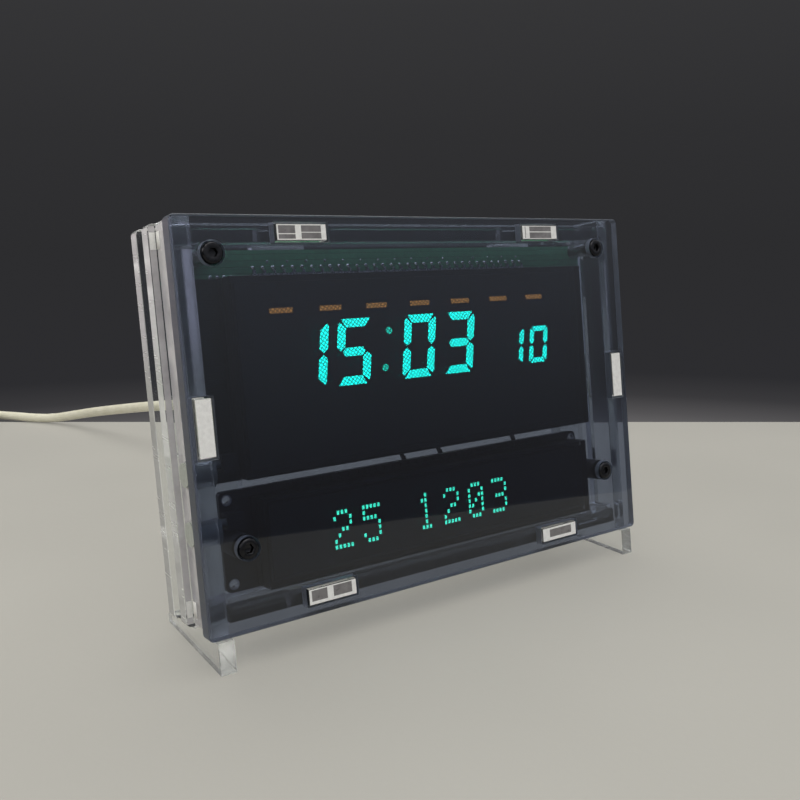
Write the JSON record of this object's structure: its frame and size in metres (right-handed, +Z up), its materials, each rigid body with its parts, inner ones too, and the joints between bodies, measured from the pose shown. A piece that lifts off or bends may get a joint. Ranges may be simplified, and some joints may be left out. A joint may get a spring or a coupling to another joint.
{
  "type": "desk clock",
  "caption": "Desk clock with glowing vacuum fluorescent displays behind a smoked acrylic front, in a clear case that leans on feet, with side buttons and a USB cable",
  "frame": {"origin": "middle of the clock's own box on the table, without its cable", "axes": "+Z up, the display faces -Y, +X to the right as one reads it"},
  "size_m": [0.1674, 0.2836, 0.0769],
  "materials": {
    "smoked_acrylic": "polished smoke-tinted acrylic sheet",
    "clear_acrylic": "clear acrylic sheet with frosted laser-cut edges",
    "frosted_acrylic": "translucent grey, laser-cut edge",
    "black_steel": "black oxide",
    "black_nylon": "matt black nylon",
    "green_board": "dark green solder mask",
    "black_board": "black solder mask",
    "display_glass": "clear glass",
    "anode_plate": "black printed glass plate",
    "bright_steel": "nickel plated",
    "chip_plastic": "black moulding",
    "can_aluminium": "plain",
    "wire_cover": "black insulation",
    "cord_cover": "cream-white soft moulding",
    "tie_band": "black hook-and-loop band"
  },
  "bodies": {
    "clock": {"backup_cell": "bright_steel", "boost_inductor": "chip_plastic", "bottom_panel": "clear_acrylic", "buzzer": "chip_plastic", "cable_tie": "tie_band", "cell_holder": "bright_steel", "clock_chip": "chip_plastic", "date_board": "black_board", "date_display_anode_plate": "anode_plate", "date_display_cover": "display_glass", "date_display_leads": "bright_steel", "date_driver": "chip_plastic", "display_driver": "chip_plastic", "far_plug_grip": "cord_cover", "far_plug_shell": "bright_steel", "front_panel": "smoked_acrylic", "front_screw_bottom_left": "black_steel", "front_screw_bottom_right": "black_steel", "front_screw_top_left": "black_steel", "front_screw_top_right": "black_steel", "inner_back_plate": "clear_acrylic", "input_capacitor": "can_aluminium", "left_side_panel": "clear_acrylic", "link_wire_left": "wire_cover", "link_wire_middle": "wire_cover", "link_wire_right": "wire_cover", "lower_switch": "chip_plastic", "main_board": "green_board", "output_capacitor": "can_aluminium", "post_bottom_left": "black_nylon", "post_bottom_right": "black_nylon", "post_top_left": "clear_acrylic", "post_top_right": "clear_acrylic", "rear_cover": "clear_acrylic", "rear_screw_bottom_left": "black_steel", "rear_screw_bottom_right": "black_steel", "rear_screw_top_left": "black_steel", "rear_screw_top_right": "black_steel", "rear_spacer_bottom_left": "black_nylon", "rear_spacer_bottom_right": "black_nylon", "rear_spacer_top_left": "black_nylon", "rear_spacer_top_right": "black_nylon", "right_side_panel": "clear_acrylic", "time_display_anode_plate": "anode_plate", "time_display_cover": "display_glass", "time_display_leads": "bright_steel", "top_panel": "clear_acrylic", "upper_switch": "chip_plastic", "usb_cable": "cord_cover", "usb_cable_coil": "cord_cover", "usb_cable_tail": "cord_cover", "usb_plug_grip": "cord_cover", "usb_plug_shell": "bright_steel", "usb_socket": "bright_steel", "wifi_module": "black_board", "wifi_shield": "can_aluminium"},
    "lower_button": {"lower_button": "frosted_acrylic"},
    "upper_button": {"upper_button": "frosted_acrylic"}
  },
  "joints": [
    {"name": "lower_button_press", "type": "slide", "parent": "clock", "child": "lower_button", "axis": [1, 0, 0], "range_m": [0, 0.0004], "stiffness_N_per_m": 4000},
    {"name": "upper_button_press", "type": "slide", "parent": "clock", "child": "upper_button", "axis": [1, 0, 0], "range_m": [0, 0.0004], "stiffness_N_per_m": 4000}
  ]
}
